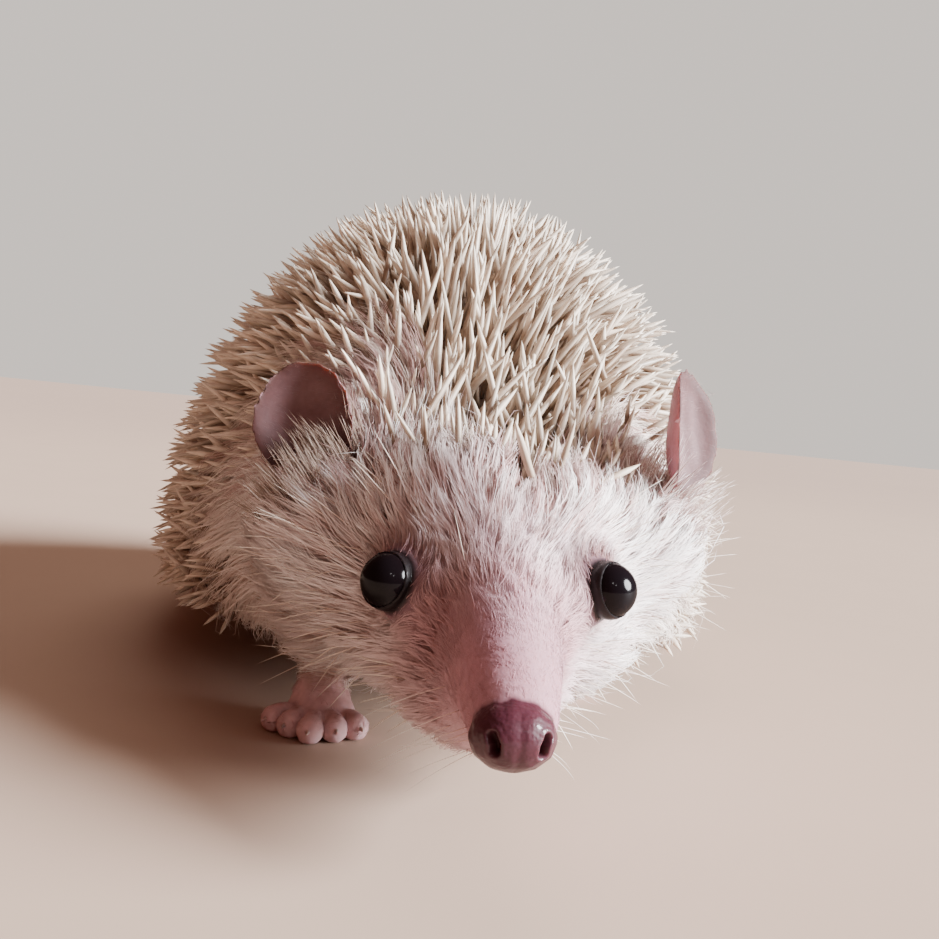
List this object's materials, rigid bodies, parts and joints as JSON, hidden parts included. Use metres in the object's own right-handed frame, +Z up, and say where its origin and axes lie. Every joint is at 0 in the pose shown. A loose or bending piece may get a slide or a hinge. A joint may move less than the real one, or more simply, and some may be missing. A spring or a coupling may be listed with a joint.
{
  "type": "hedgehog",
  "caption": "Life-size still model of a standing African pygmy hedgehog with a spiny domed back, furred face and belly, round ears, pointed snout and short clawed paws.",
  "frame": {"origin": "on the floor, under the middle of the animal's bounding box", "axes": "+Z up, the animal faces -Y with its nose, its own left side is +X, and its length runs along Y"},
  "size_m": [0.095, 0.1776, 0.0789],
  "materials": {
    "quills": "ivory-tipped keratin quills with a tan-brown band, satin",
    "face_fur": "short soft white to cream fur over pink skin",
    "body_fur": "long coarse cream to tan fur",
    "ear_skin": "thin pink-brown skin with fine pale down",
    "paw_skin": "bare pink skin, finely wrinkled, with pale claws",
    "nose_leather": "moist mauve nose leather",
    "eye": "wet glossy near-black eye"
  },
  "bodies": {
    "root": {"head": "face_fur", "nose": "nose_leather", "eye_left": "eye", "eye_right": "eye", "ear_left": "ear_skin", "ear_right": "ear_skin", "neck": "body_fur", "belly": "body_fur", "crown": "quills", "back": "quills", "rump": "quills", "tail": "paw_skin", "leg_front_right": "body_fur", "leg_front_left": "body_fur", "leg_hind_right": "body_fur", "leg_hind_left": "body_fur", "paw_front_right": "paw_skin", "paw_front_left": "paw_skin", "paw_hind_right": "paw_skin", "paw_hind_left": "paw_skin"}
  },
  "joints": []
}
